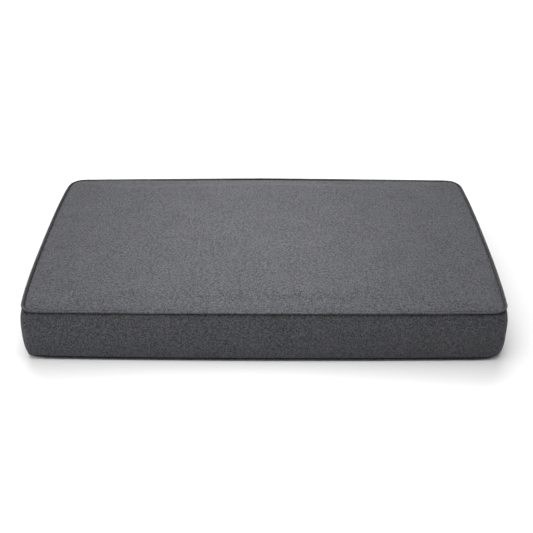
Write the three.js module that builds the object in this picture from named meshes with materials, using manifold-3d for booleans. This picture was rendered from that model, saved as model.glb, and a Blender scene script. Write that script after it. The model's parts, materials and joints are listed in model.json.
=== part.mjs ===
// Garden kneeling pad: a box-edge fabric cover with piped seams and a rear zip, round a wadded
// foam block. Millimetres, +Z up, long side along X, front at -Y, zip side at +Y. The origin is
// on the underside, in the middle of the overall box.
import * as THREE from 'three';
import { mergeVertices } from 'three/addons/utils/BufferGeometryUtils.js';
import Module from 'manifold-3d';

// ---- driving dimensions ---------------------------------------------------------------------

const SEAM_HALF_X = 229.5;       // half length of the sewn edge, at its corners
const SEAM_HALF_Y = 138.4;       // half depth of the sewn edge
const SEAM_CORNER_R = 14;        // plan radius of the cover's corners
const SIDE_BOW = 5;              // how far the short sides bow out at their middle
const SIDE_BOW_POWER = 3;        // how evenly the bow spreads along the side

const CROWN_Z = 62.6;            // top of the crown
const TOP_SEAM_Z = 56.4;         // centre of the top piping
const BOTTOM_SEAM_Z = 3.4;       // centre of the bottom piping
const MID_Z = (TOP_SEAM_Z + BOTTOM_SEAM_Z) / 2;

const CLOTH = 1.0;               // cover fabric with its backing
const GAP = 0.3;                 // space left between pieces that touch

const SIDE_BULGE = 6.6;          // boxing proud of the seam, middle of a short side
const SIDE_BULGE_END = 5;        // the same beside a corner
const FRONT_BULGE = 4.5;         // the same on the front
const REAR_BULGE = 2.4;          // the same at the rear, where the zip holds it flatter

const FOAM_HEIGHT = 50;
const FOAM_INSET = 6;            // foam side, in from the sewn edge
const EDGE_SOFTENING = 12;       // width of the rounded rim on foam, wadding and panels

const PIPING_R = 1.5;            // outside of the piping sleeve
const PIPING_CLOTH = 0.5;
const PIPING_OUT = 0.3;          // piping centre, out from the sewn edge
const PIPING_CORD_R = 0.55;
const PIPING_FLANGE = 3.6;       // seam allowance behind the piping
const PIPING_SLIT = 0.2;         // half the slit between the two flange layers

const ZIP_HALF_LENGTH = 205;     // half the zip opening between the two end seams
const ZIP_WINDOW = 5.2;          // boxing edge, up or down from the zip's centre line
const CHAIN_HALF_LENGTH = 200;   // half the run of coils between the stops
const COIL_WIDTH = 2.3;          // one row of coils
const COIL_THICKNESS = 2.0;
const COIL_SLOT = 0.6;           // half the space between the two rows
const TAPE_WIDTH = 11;
const TAPE_THICKNESS = 0.7;
const TAPE_OUT = 0.75;           // middle of the tape, out from the sewn edge
const STOP_LENGTH = 3;

const SLIDER_LENGTH = 12;
const SLIDER_HALF_WIDTH = 4.6;
const SLIDER_PLATE = 1.0;
const SLIDER_LIP = 1.3;          // thickness of the lips that hold the coils together
const SLIDER_REST_X = 193;       // slider centre with the zip closed
const BAIL_HALF_SPAN = 3.6;
const BAIL_THICKNESS = 0.8;
const BAIL_HALF_WIDTH = 0.8;

const TAB_LENGTH = 26;
const TAB_HALF_WIDTH = 2.75;
const TAB_THICKNESS = 1.0;
const TAB_CLEARANCE = 0.35;      // tab over the slider plate
const TAB_WINDOW_HALF_WIDTH = 1.3;
const TAB_WINDOW_END = 4.6;      // far side of the window, from the hinge line

const LABEL_LENGTH = 24;
const LABEL_WIDTH = 10;
const LABEL_THICKNESS = 0.4;

// ---- materials ------------------------------------------------------------------------------

function cloth(colour) {
  return new THREE.MeshStandardMaterial({ color: colour, roughness: 0.95, metalness: 0 });
}

function plastic(colour) {
  return new THREE.MeshStandardMaterial({ color: colour, roughness: 0.45, metalness: 0 });
}

function metal(colour) {
  return new THREE.MeshStandardMaterial({ color: colour, roughness: 0.35, metalness: 0.9 });
}

const coverCloth = () => cloth(0x5f6065);
const tapeCloth = () => cloth(0x2c2d30);
const whiteCord = () => cloth(0xd9d6cd);
const whiteWadding = () => cloth(0xeeece6);
const foam = () => cloth(0xdedbc8);
const blankLabel = () => cloth(0xe9e9e6);
const coilPlastic = () => plastic(0x242528);
const zipMetal = () => metal(0x4a4b4f);

// ---- the sewn edge in plan ------------------------------------------------------------------

// A point of the sewn edge with its outward normal. The short sides bow out a little.
function edgePoint(x, y, nx, ny) {
  const bow = SIDE_BOW * (1 - Math.abs(y / SEAM_HALF_Y) ** SIDE_BOW_POWER);
  return { x: x * (1 + bow / SEAM_HALF_X), y, nx, ny };
}

// One rounded corner, from one side's direction to the next.
function cornerPoints(signX, signY, fromAngle) {
  const steps = 4;
  const points = [];
  for (let i = 0; i <= steps; i += 1) {
    const angle = fromAngle + (i / steps) * (Math.PI / 2);
    const nx = Math.cos(angle);
    const ny = Math.sin(angle);
    const x = signX * (SEAM_HALF_X - SEAM_CORNER_R) + nx * SEAM_CORNER_R;
    const y = signY * (SEAM_HALF_Y - SEAM_CORNER_R) + ny * SEAM_CORNER_R;
    points.push(edgePoint(x, y, nx, ny));
  }
  return points;
}

// Points along one short side, between its corners.
function sidePoints(signX) {
  const steps = 6;
  const reach = SEAM_HALF_Y - SEAM_CORNER_R;
  const points = [];
  for (let i = 1; i < steps; i += 1) {
    const y = signX * reach * (-1 + (2 * i) / steps);
    points.push(edgePoint(signX * SEAM_HALF_X, y, signX, 0));
  }
  return points;
}

// Points along a straight run of the front or the rear, both ends left out.
function straightPoints(fromX, toX, y, ny, steps) {
  const points = [];
  for (let i = 1; i < steps; i += 1) {
    points.push({ x: fromX + ((toX - fromX) * i) / steps, y, nx: 0, ny });
  }
  return points;
}

// The run of the one-piece boxing: from one end of the zip opening, round the left side, the
// front and the right side to the other end. It goes anticlockwise seen from above.
function boxingPath() {
  const end = ZIP_HALF_LENGTH + GAP;
  const reach = SEAM_HALF_X - SEAM_CORNER_R;
  return [
    { x: -end, y: SEAM_HALF_Y, nx: 0, ny: 1 },
    ...cornerPoints(-1, 1, Math.PI / 2),
    ...sidePoints(-1),
    ...cornerPoints(-1, -1, Math.PI),
    ...straightPoints(-reach, reach, -SEAM_HALF_Y, -1, 4),
    ...cornerPoints(1, -1, 1.5 * Math.PI),
    ...sidePoints(1),
    ...cornerPoints(1, 1, 0),
    { x: end, y: SEAM_HALF_Y, nx: 0, ny: 1 },
  ];
}

// The whole sewn edge: the boxing's run, closed along the zip.
function seamPath() {
  const end = ZIP_HALF_LENGTH + GAP;
  return [...boxingPath(), ...straightPoints(end, -end, SEAM_HALF_Y, 1, 4)];
}

// ---- sweeping a section round the edge ------------------------------------------------------

// A section point {s, u, z} lies at the edge point scaled by s about the middle, then u out
// along the edge's normal, at height z. With s = 0 and u = 0 it is the middle itself.
function place(edge, { s = 1, u, z }) {
  return [edge.x * s + edge.nx * u, edge.y * s + edge.ny * u, z];
}

function solidFrom(positions, triangles) {
  const geometry = new THREE.BufferGeometry();
  geometry.setAttribute('position', new THREE.Float32BufferAttribute(positions.flat(), 3));
  geometry.setIndex(triangles.flat());
  geometry.computeVertexNormals();
  return geometry;
}

// Panels and fillings: sectionAt gives the section from the middle of the underside, out round
// the rim and back to the middle of the top.
function sweepDisc(path, sectionAt) {
  const rings = sectionAt(path[0]).length - 2;
  const positions = [];
  const triangles = [];
  for (const edge of path) {
    for (const point of sectionAt(edge).slice(1, -1)) {
      positions.push(place(edge, point));
    }
  }
  const section = sectionAt(path[0]);
  const low = positions.push([0, 0, section[0].z]) - 1;
  const high = positions.push([0, 0, section[rings + 1].z]) - 1;
  for (let i = 0; i < path.length; i += 1) {
    const here = i * rings;
    const next = ((i + 1) % path.length) * rings;
    triangles.push([low, next, here]);
    for (let j = 0; j < rings - 1; j += 1) {
      triangles.push([here + j, next + j, next + j + 1]);
      triangles.push([here + j, next + j + 1, here + j + 1]);
    }
    triangles.push([here + rings - 1, next + rings - 1, high]);
  }
  return solidFrom(positions, triangles);
}

// Bands and tubes: sectionAt gives a closed section, anticlockwise with u to the right and z
// up. A band that doesn't close on itself gets a flat cap at each end.
function sweepBand(path, sectionAt, closed) {
  const count = sectionAt(path[0]).length;
  const positions = [];
  const triangles = [];
  for (const edge of path) {
    for (const point of sectionAt(edge)) {
      positions.push(place(edge, point));
    }
  }
  const spans = closed ? path.length : path.length - 1;
  for (let i = 0; i < spans; i += 1) {
    const here = i * count;
    const next = ((i + 1) % path.length) * count;
    for (let j = 0; j < count; j += 1) {
      const k = (j + 1) % count;
      triangles.push([here + j, next + j, next + k]);
      triangles.push([here + j, next + k, here + k]);
    }
  }
  if (!closed) {
    const outline = sectionAt(path[0]).map((point) => new THREE.Vector2(point.u, point.z));
    const last = (path.length - 1) * count;
    for (const [a, b, c] of THREE.ShapeUtils.triangulateShape(outline, [])) {
      triangles.push([a, b, c]);
      triangles.push([last + c, last + b, last + a]);
    }
  }
  return solidFrom(positions, triangles);
}

// How far the boxing stands proud of the seam, by the way the edge faces.
function bulgeAt(edge) {
  const along = 1 - (edge.y / SEAM_HALF_Y) ** 2;
  const side = SIDE_BULGE_END + (SIDE_BULGE - SIDE_BULGE_END) * along;
  const face = edge.ny < 0 ? FRONT_BULGE : REAR_BULGE;
  return side * edge.nx ** 2 + face * edge.ny ** 2;
}

// ---- cover ----------------------------------------------------------------------------------

const PANEL_EDGE_U = PIPING_OUT - PIPING_R - GAP;
const BOXING_EDGE_U = -0.6;
const BOXING_HALF_HEIGHT = TOP_SEAM_Z - MID_Z - 1.7;

// The crown's outside, as distance in from the edge and drop below the crown's top.
const CROWN_RIM = [
  { u: PANEL_EDGE_U, drop: 4 },
  { u: -4, drop: 3 },
  { u: -8, drop: 2 },
  { u: -EDGE_SOFTENING, drop: 1.4 },
  { s: 0.78, u: -9, drop: 0.5 },
];

function crownSurface(below) {
  return CROWN_RIM.map(({ s = 1, u, drop }) => ({ s, u, z: CROWN_Z - drop - below }));
}

function topPanel() {
  const underside = crownSurface(CLOTH).reverse();
  const outside = crownSurface(0);
  const middleLow = { s: 0, u: 0, z: CROWN_Z - CLOTH };
  const middleHigh = { s: 0, u: 0, z: CROWN_Z };
  return sweepDisc(seamPath(), () => [middleLow, ...underside, ...outside, middleHigh]);
}

// The underside is flat where the pad rests, and lifts to the seam at its rim.
const UNDERSIDE_RIM = [
  { u: -9, z: 0 },
  { u: -5, z: 0.5 },
  { u: PANEL_EDGE_U, z: 1.4 },
];

function bottomPanel() {
  const inside = UNDERSIDE_RIM.map(({ u, z }) => ({ u, z: z + CLOTH })).reverse();
  const middleLow = { s: 0, u: 0, z: 0 };
  const middleHigh = { s: 0, u: 0, z: CLOTH };
  return sweepDisc(seamPath(), () => [middleLow, ...UNDERSIDE_RIM, ...inside, middleHigh]);
}

// Outside of the boxing at height z: steep at the seams and flat at mid height.
function boxingOut(edge, z) {
  const level = (z - MID_Z) / BOXING_HALF_HEIGHT;
  return BOXING_EDGE_U + (bulgeAt(edge) - BOXING_EDGE_U) * (1 - level ** 4);
}

const BOXING_LEVELS = [-1, -0.85, -0.6, -0.3, 0.3, 0.6, 0.85, 1];

function boxingSection(edge) {
  const heights = BOXING_LEVELS.map((level) => MID_Z + level * BOXING_HALF_HEIGHT);
  const outside = heights.map((z) => ({ u: boxingOut(edge, z), z }));
  const inside = heights.map((z) => ({ u: boxingOut(edge, z) - CLOTH, z }));
  return [...outside, ...inside.reverse()];
}

function boxingStrip() {
  return sweepBand(boxingPath(), boxingSection, false);
}

// ---- piping ---------------------------------------------------------------------------------

function arc(radius, from, to, steps) {
  const points = [];
  for (let i = 0; i <= steps; i += 1) {
    const angle = from + ((to - from) * i) / steps;
    points.push({ u: radius * Math.cos(angle), z: radius * Math.sin(angle) });
  }
  return points;
}

// A strip folded round the cord, its two layers running in between panel and boxing.
function pipingSleeve(seamZ) {
  const layerOut = PIPING_SLIT + PIPING_CLOTH;
  const innerR = PIPING_R - PIPING_CLOTH;
  const outerTurn = Math.PI - Math.asin(layerOut / PIPING_R);
  const innerTurn = Math.PI - Math.asin(PIPING_SLIT / innerR);
  const section = [
    { u: -PIPING_FLANGE, z: -layerOut },
    ...arc(PIPING_R, -outerTurn, outerTurn, 6),
    { u: -PIPING_FLANGE, z: layerOut },
    { u: -PIPING_FLANGE, z: PIPING_SLIT },
    ...arc(innerR, innerTurn, -innerTurn, 6),
    { u: -PIPING_FLANGE, z: -PIPING_SLIT },
  ].map(({ u, z }) => ({ u: u + PIPING_OUT, z: z + seamZ }));
  return sweepBand(seamPath(), () => section, true);
}

function pipingCord(seamZ) {
  const sides = 6;
  const section = arc(PIPING_CORD_R, 0, 2 * Math.PI, sides)
    .slice(0, sides)
    .map(({ u, z }) => ({ u: u + PIPING_OUT, z: z + seamZ }));
  return sweepBand(seamPath(), () => section, true);
}

// ---- filling --------------------------------------------------------------------------------

const FOAM_TOP = CROWN_Z - CLOTH - GAP - 6.3;
const FOAM_BOTTOM = FOAM_TOP - FOAM_HEIGHT;

// The foam block's upper rim, from its side to its flat top, eased outward by ease.
function foamRim(ease) {
  return [
    { u: -FOAM_INSET + ease, z: FOAM_TOP - 8 },
    { u: -FOAM_INSET - 1.8 + ease, z: FOAM_TOP - 2 + ease },
    { u: -EDGE_SOFTENING, z: FOAM_TOP + ease },
  ];
}

// The same rim at the foot of the block, upside down.
function mirrored(points) {
  const turn = FOAM_TOP + FOAM_BOTTOM;
  return points.map((point) => ({ ...point, z: turn - point.z })).reverse();
}

function foamCore() {
  const top = foamRim(0);
  const section = [
    { s: 0, u: 0, z: FOAM_BOTTOM },
    ...mirrored(top),
    ...top,
    { s: 0, u: 0, z: FOAM_TOP },
  ];
  return sweepDisc(seamPath(), () => section);
}

// Outside of the wadding on the sides: just inside the boxing, but clear of the zip slider.
function waddingOut(edge, z) {
  const inBoxing = boxingOut(edge, z) - CLOTH - GAP;
  const clearOfZip = -2.4;
  const rear = Math.max(0, edge.ny) ** 2;
  return inBoxing * (1 - rear) + Math.min(inBoxing, clearOfZip) * rear;
}

// Upper sheet of wadding: over the foam's top and down its sides to mid height.
function waddingUpper() {
  const under = crownSurface(CLOTH + GAP);
  const lid = [under[3], under[4]];
  const sectionAt = (edge) => [
    { s: 0, u: 0, z: FOAM_TOP + GAP },
    ...foamRim(GAP).reverse(),
    { u: -FOAM_INSET + GAP, z: MID_Z + GAP / 2 },
    { u: waddingOut(edge, MID_Z), z: MID_Z + GAP / 2 },
    { u: waddingOut(edge, 42), z: 42 },
    { u: Math.min(waddingOut(edge, 50), -2.4), z: 50 },
    { u: -4.4, z: TOP_SEAM_Z - 1 },
    { u: -4.4, z: TOP_SEAM_Z + 1.4 },
    under[2],
    ...lid,
    { s: 0, u: 0, z: CROWN_Z - CLOTH - GAP },
  ];
  return sweepDisc(seamPath(), sectionAt);
}

// Lower sheet: under the foam and up its sides to meet the upper sheet.
function waddingLower() {
  const floor = CLOTH + GAP;
  const sectionAt = (edge) => [
    { s: 0, u: 0, z: floor },
    { u: -9, z: floor },
    { u: -5, z: floor + 0.5 },
    { u: -4.4, z: BOTTOM_SEAM_Z + 1 },
    { u: Math.min(waddingOut(edge, 2 * MID_Z - 50), -2.4), z: 2 * MID_Z - 50 },
    { u: waddingOut(edge, 2 * MID_Z - 42), z: 2 * MID_Z - 42 },
    { u: waddingOut(edge, MID_Z), z: MID_Z - GAP / 2 },
    { u: -FOAM_INSET + GAP, z: MID_Z - GAP / 2 },
    ...mirrored(foamRim(GAP)).reverse(),
    { s: 0, u: 0, z: FOAM_BOTTOM - GAP },
  ];
  return sweepDisc(seamPath(), sectionAt);
}

// ---- rear boxing and zip --------------------------------------------------------------------

// A straight run along X of a section given as [out from the rear seam, up from mid height].
function rearRun(section, fromX, toX) {
  const shape = new THREE.Shape(section.map(([out, up]) => new THREE.Vector2(out, up)));
  const options = { depth: toX - fromX, bevelEnabled: false, steps: 1 };
  const geometry = new THREE.ExtrudeGeometry(shape, options);
  const basis = new THREE.Matrix4().makeBasis(
    new THREE.Vector3(0, 1, 0),
    new THREE.Vector3(0, 0, 1),
    new THREE.Vector3(1, 0, 0),
  );
  geometry.applyMatrix4(basis);
  geometry.translate(fromX, SEAM_HALF_Y, MID_Z);
  return geometry;
}

// up is +1 for the upper half of the zip side and -1 for the lower half.
function flip(section, up) {
  return section.map(([out, height]) => [out, height * up]);
}

function rearBoxing(up) {
  const section = [
    [REAR_BULGE - CLOTH, ZIP_WINDOW],
    [REAR_BULGE, ZIP_WINDOW],
    [REAR_BULGE, 17],
    [REAR_BULGE - 0.9, 21],
    [BOXING_EDGE_U, BOXING_HALF_HEIGHT],
    [BOXING_EDGE_U - CLOTH, BOXING_HALF_HEIGHT - 0.5],
    [REAR_BULGE - 0.9 - CLOTH, 20.4],
    [REAR_BULGE - CLOTH, 16.7],
  ];
  return rearRun(flip(section, up), -ZIP_HALF_LENGTH, ZIP_HALF_LENGTH);
}

const COIL_OUTER = COIL_SLOT + COIL_WIDTH;

function rectangle(outFrom, outTo, upFrom, upTo) {
  return [[outFrom, upFrom], [outTo, upFrom], [outTo, upTo], [outFrom, upTo]];
}

function zipTape(up) {
  const half = TAPE_THICKNESS / 2;
  const near = COIL_OUTER + GAP;
  const section = rectangle(TAPE_OUT - half, TAPE_OUT + half, near, near + TAPE_WIDTH);
  return rearRun(flip(section, up), -ZIP_HALF_LENGTH, ZIP_HALF_LENGTH);
}

function coilSection(grow) {
  const half = COIL_THICKNESS / 2 + grow;
  return rectangle(TAPE_OUT - half, TAPE_OUT + half, COIL_SLOT, COIL_OUTER);
}

function zipCoil(up) {
  return rearRun(flip(coilSection(0), up), -CHAIN_HALF_LENGTH, CHAIN_HALF_LENGTH);
}

// The crimps at the closed end, one for each row of coils.
function zipTopStop(up) {
  const from = CHAIN_HALF_LENGTH + GAP;
  return rearRun(flip(coilSection(0.2), up), from, from + STOP_LENGTH);
}

// The crimp at the open end, across both rows.
function zipBottomStop() {
  const half = COIL_THICKNESS / 2 + 0.2;
  const section = rectangle(TAPE_OUT - half, TAPE_OUT + half, -COIL_OUTER, COIL_OUTER);
  const to = -CHAIN_HALF_LENGTH - GAP;
  return rearRun(section, to - STOP_LENGTH, to);
}

const PLATE_IN = TAPE_OUT + COIL_THICKNESS / 2 + GAP;       // inside of the slider's face plate
const PLATE_OUT = PLATE_IN + SLIDER_PLATE;
const HINGE_OUT = PLATE_OUT + TAB_CLEARANCE + TAB_THICKNESS / 2;
const BAIL_UNDER = HINGE_OUT + TAB_THICKNESS / 2 + TAB_CLEARANCE;

// Face plate and back plate with lips round the coils, joined by a thin web between the rows.
function sliderSection() {
  const lipOut = TAPE_OUT + TAPE_THICKNESS / 2 + GAP;
  const w = SLIDER_HALF_WIDTH;
  const lip = SLIDER_HALF_WIDTH - SLIDER_LIP;
  const web = COIL_SLOT - GAP;
  const quarter = [
    [PLATE_IN, web],
    [PLATE_IN, lip],
    [lipOut, lip],
    [lipOut, w],
    [PLATE_OUT, w],
  ];
  const mirrorUp = ([out, up]) => [out, -up];
  const mirrorOut = ([out, up]) => [2 * TAPE_OUT - out, up];
  return [
    ...quarter,
    ...quarter.map(mirrorUp).reverse(),
    ...quarter.map(mirrorUp).map(mirrorOut),
    ...quarter.map(mirrorOut).reverse(),
  ];
}

// The arch over the face plate that holds the tab, as a shape with X along and Y out.
function bailShape() {
  const foot = PLATE_OUT - SLIDER_PLATE / 2;
  const inner = BAIL_HALF_SPAN - BAIL_THICKNESS;
  const top = BAIL_UNDER + BAIL_THICKNESS;
  const bevel = 0.7;
  const points = [
    [-BAIL_HALF_SPAN, foot],
    [-inner, foot],
    [-inner, BAIL_UNDER],
    [inner, BAIL_UNDER],
    [inner, foot],
    [BAIL_HALF_SPAN, foot],
    [BAIL_HALF_SPAN, top - bevel],
    [BAIL_HALF_SPAN - bevel, top],
    [-BAIL_HALF_SPAN + bevel, top],
    [-BAIL_HALF_SPAN, top - bevel],
  ];
  return new THREE.Shape(points.map(([x, y]) => new THREE.Vector2(x, y)));
}

function bail() {
  const options = { depth: 2 * BAIL_HALF_WIDTH, bevelEnabled: false, steps: 1 };
  const geometry = new THREE.ExtrudeGeometry(bailShape(), options);
  geometry.translate(SLIDER_REST_X, SEAM_HALF_Y, MID_Z - BAIL_HALF_WIDTH);
  return geometry;
}

const wasm = await Module();
wasm.setup();

function toManifold(geometry) {
  const bare = geometry.clone();
  bare.deleteAttribute('normal');
  bare.deleteAttribute('uv');
  const merged = mergeVertices(bare, 1e-4);
  const vertProperties = new Float32Array(merged.attributes.position.array);
  const triVerts = new Uint32Array(merged.index.array);
  return new wasm.Manifold(new wasm.Mesh({ numProp: 3, vertProperties, triVerts }));
}

function fromManifold(solid) {
  const mesh = solid.getMesh();
  const geometry = new THREE.BufferGeometry();
  geometry.setAttribute('position', new THREE.BufferAttribute(mesh.vertProperties, 3));
  geometry.setIndex(new THREE.BufferAttribute(mesh.triVerts, 1));
  geometry.computeVertexNormals();
  return geometry;
}

function zipSlider() {
  const from = SLIDER_REST_X - SLIDER_LENGTH / 2;
  const body = rearRun(sliderSection().reverse(), from, from + SLIDER_LENGTH);
  return fromManifold(toManifold(body).add(toManifold(bail())));
}

// The pull tab, drawn flat with its hinge line at x = 0 and its length towards -X.
function tabShape() {
  const near = TAB_THICKNESS / 2;
  const far = -TAB_LENGTH;
  const taper = 0.8;
  const w = TAB_HALF_WIDTH;
  const outline = [
    [near, -w],
    [near, w],
    [far + 2, w - taper + 0.5],
    [far, w - taper - 0.8],
    [far, -w + taper + 0.8],
    [far + 2, -w + taper - 0.5],
  ];
  const shape = new THREE.Shape(outline.map(([x, z]) => new THREE.Vector2(x, z)));
  const inner = TAB_WINDOW_HALF_WIDTH;
  const opening = [[-near, -inner], [-near, inner], [-TAB_WINDOW_END, inner], [-TAB_WINDOW_END, -inner]];
  shape.holes.push(new THREE.Path(opening.map(([x, z]) => new THREE.Vector2(x, z))));
  return shape;
}

function zipPullTab() {
  const options = { depth: TAB_THICKNESS, bevelEnabled: false, steps: 1 };
  const geometry = new THREE.ExtrudeGeometry(tabShape(), options);
  geometry.rotateX(Math.PI / 2);
  const out = SEAM_HALF_Y + HINGE_OUT + TAB_THICKNESS / 2;
  geometry.translate(SLIDER_REST_X, out, MID_Z);
  return geometry;
}

// A blank label, caught in the end seam of the zip opening and lying flat above the zip.
function careLabel() {
  const from = -ZIP_HALF_LENGTH + GAP;
  const out = REAR_BULGE + GAP;
  const up = ZIP_WINDOW + 1.5;
  const section = rectangle(out, out + LABEL_THICKNESS, up, up + LABEL_WIDTH);
  return rearRun(section, from, from + LABEL_LENGTH);
}

// ---- assembly -------------------------------------------------------------------------------

// The slider's bail stands further out than the front does, so the whole pad moves forward by
// half the difference, which puts the origin in the middle of the overall box.
const REAR_REACH = BAIL_UNDER + BAIL_THICKNESS;
const pad = new THREE.Group();
pad.position.y = (FRONT_BULGE - REAR_REACH) / 2;

function addPiece(name, geometry, material) {
  const mesh = new THREE.Mesh(geometry, material);
  mesh.name = name;
  pad.add(mesh);
}

addPiece('top_panel', topPanel(), coverCloth());
addPiece('bottom_panel', bottomPanel(), coverCloth());
addPiece('boxing_strip', boxingStrip(), coverCloth());
addPiece('foam_core', foamCore(), foam());
addPiece('wadding_upper', waddingUpper(), whiteWadding());
addPiece('wadding_lower', waddingLower(), whiteWadding());

for (const [edge, seamZ] of [['top', TOP_SEAM_Z], ['bottom', BOTTOM_SEAM_Z]]) {
  addPiece(`${edge}_piping_sleeve`, pipingSleeve(seamZ), coverCloth());
  addPiece(`${edge}_piping_cord`, pipingCord(seamZ), whiteCord());
}

for (const [half, up] of [['upper', 1], ['lower', -1]]) {
  addPiece(`rear_boxing_${half}`, rearBoxing(up), coverCloth());
  addPiece(`zip_tape_${half}`, zipTape(up), tapeCloth());
  addPiece(`zip_coil_${half}`, zipCoil(up), coilPlastic());
  addPiece(`zip_top_stop_${half}`, zipTopStop(up), zipMetal());
}

addPiece('zip_bottom_stop', zipBottomStop(), zipMetal());
addPiece('zip_slider', zipSlider(), zipMetal());
addPiece('zip_pull_tab', zipPullTab(), zipMetal());
addPiece('care_label', careLabel(), blankLabel());

export default pad;
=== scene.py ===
"""A garden kneeling pad: piped box-edge cover in heathered charcoal cloth, with a zip at the rear."""
import json
import math

import bmesh
import bpy
import numpy as np
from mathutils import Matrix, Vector


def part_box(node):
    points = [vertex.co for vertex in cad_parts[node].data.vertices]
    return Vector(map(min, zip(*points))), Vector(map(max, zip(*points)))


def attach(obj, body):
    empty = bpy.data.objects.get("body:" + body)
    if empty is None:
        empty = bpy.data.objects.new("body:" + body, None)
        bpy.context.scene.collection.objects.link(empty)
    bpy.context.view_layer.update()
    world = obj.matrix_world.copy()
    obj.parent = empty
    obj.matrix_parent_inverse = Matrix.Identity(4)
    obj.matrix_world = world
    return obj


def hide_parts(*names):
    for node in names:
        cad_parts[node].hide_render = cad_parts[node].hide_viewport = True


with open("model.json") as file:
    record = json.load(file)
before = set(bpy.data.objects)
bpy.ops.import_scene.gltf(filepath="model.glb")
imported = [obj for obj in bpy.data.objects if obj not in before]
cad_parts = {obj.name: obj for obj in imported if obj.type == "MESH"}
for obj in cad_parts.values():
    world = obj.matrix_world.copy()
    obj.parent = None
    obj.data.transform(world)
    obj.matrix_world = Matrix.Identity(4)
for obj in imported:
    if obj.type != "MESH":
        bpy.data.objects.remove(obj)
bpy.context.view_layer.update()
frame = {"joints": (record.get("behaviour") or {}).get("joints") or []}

MM = 0.001

# ---- driving dimensions, in metres, in the frame of the CAD model ---------------------------

cord_low, cord_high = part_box("top_piping_cord")
bottom_cord_low, bottom_cord_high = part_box("bottom_piping_cord")
MID_Y = (cord_low.y + cord_high.y) / 2              # middle of the sewn edge, front to rear
TOP_SEAM_Z = (cord_low.z + cord_high.z) / 2
BOTTOM_SEAM_Z = (bottom_cord_low.z + bottom_cord_high.z) / 2
MID_Z = (TOP_SEAM_Z + BOTTOM_SEAM_Z) / 2
CROWN_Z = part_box("top_panel")[1].z

SEAM_HALF_X = 229.2 * MM
SEAM_HALF_Y = 138.4 * MM
REAR_Y = MID_Y + SEAM_HALF_Y
CLOTH = 1.0 * MM
PIPING_R = 1.1 * MM
PIPING_OUT = 1.0 * MM

ZIP_HALF = 205 * MM                                 # half the zip opening between its end seams
ZIP_WINDOW = 5.2 * MM                               # boxing edge, up or down from the zip's centre
slider_low, slider_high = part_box("zip_slider")
SLIDER_X = (slider_low.x + slider_high.x) / 2
HINGE_Y = frame["joints"][1]["pos_m"][1]            # the tab's joint
UP = np.array([0, 0, 1.0])

rng = np.random.default_rng(7)


# ---- mesh helpers ---------------------------------------------------------------------------

def mesh_object(name, vertices, faces, smooth=True):
    mesh = bpy.data.meshes.new(name)
    mesh.from_pydata([tuple(v) for v in vertices], [], [tuple(f) for f in faces])
    mesh.validate()
    mesh.polygons.foreach_set("use_smooth", [smooth] * len(mesh.polygons))
    piece = bpy.data.objects.new(name, mesh)
    bpy.context.scene.collection.objects.link(piece)
    return piece


def set_cloth_coordinates(piece, coordinates):
    """Flat cloth coordinates in metres, one per vertex, which the weave is drawn in."""
    layer = piece.data.attributes.new("cloth", "FLOAT_VECTOR", "POINT")
    layer.data.foreach_set("vector", np.asarray(coordinates, np.float32).ravel())


def set_painted_seam_shade(piece, shade):
    """How much darker the cloth is painted, from 0 to 1: painted shade in seams, creases and under the
    piping, where shadow falls.
    """
    layer = piece.data.attributes.new("seam", "FLOAT", "POINT")
    layer.data.foreach_set("value", np.clip(np.asarray(shade, np.float32).ravel(), 0, 1))


def apply_modifiers(piece):
    depsgraph = bpy.context.evaluated_depsgraph_get()
    piece.data = bpy.data.meshes.new_from_object(piece.evaluated_get(depsgraph))
    piece.modifiers.clear()


def thicken(piece, thickness, levels=1):
    solid = piece.modifiers.new("thickness", "SOLIDIFY")
    solid.thickness = thickness
    solid.offset = -1
    if levels:
        smooth = piece.modifiers.new("smooth", "SUBSURF")
        smooth.levels = smooth.render_levels = levels
    apply_modifiers(piece)


def grid_faces(rows, columns, closed=False):
    """Quads of a rows x columns grid of vertices, facing so that rows go up and columns right."""
    faces = []
    for r in range(rows - 1):
        for c in range(columns if closed else columns - 1):
            d = (c + 1) % columns
            low, high = r * columns, (r + 1) * columns
            faces.append((low + c, low + d, high + d, high + c))
    return faces


def ring_faces(rings):
    """Quads between neighbouring closed rings of vertex numbers, from the first ring up."""
    faces = []
    for low, high in zip(rings[:-1], rings[1:]):
        for i in range(len(low)):
            j = (i + 1) % len(low)
            faces.append((low[i], low[j], high[j], high[i]))
    return faces


def flipped(faces):
    return [tuple(reversed(f)) for f in faces]


def tube_faces(count, around):
    """Faces of a closed tube with capped ends: count rings of vertices, each with around of them."""
    faces = flipped(grid_faces(count, around, closed=True))
    faces.append(tuple(range(around)))
    faces.append(tuple((count - 1) * around + k for k in reversed(range(around))))
    return faces


def unit(vectors):
    return vectors / np.linalg.norm(vectors, axis=-1, keepdims=True)


def fade(distance, width):
    """1 at distance 0, dying away over a few widths."""
    return np.exp(-distance / width)


def bell(distance, width):
    """1 at distance 0, dying away smoothly on both sides."""
    return np.exp(-((distance / width) ** 2))


def squared_off(value, power):
    """A sine or cosine raised to a power below 1, keeping its sign, which squares off a circle."""
    return math.copysign(abs(value) ** power, value)


def sweep(centres, sides, ups, section):
    """Rows of a tube: section points (out, up) are placed at each centre by its two directions."""
    out, up = np.array(section).T
    return (
        centres[:, None, :]
        + out[None, :, None] * sides[:, None, :]
        + up[None, :, None] * ups[:, None, :]
    )


def circle(radius, steps):
    angles = np.arange(steps) * 2 * math.pi / steps
    return [(radius * math.cos(a), radius * math.sin(a)) for a in angles]


def add_piece(piece, body, slot, material, *replaced):
    piece.data.materials.clear()
    piece.data.materials.append(material)
    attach(piece, body)
    if replaced:
        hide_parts(*replaced)
    return piece


# ---- material helpers -----------------------------------------------------------------------

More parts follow.
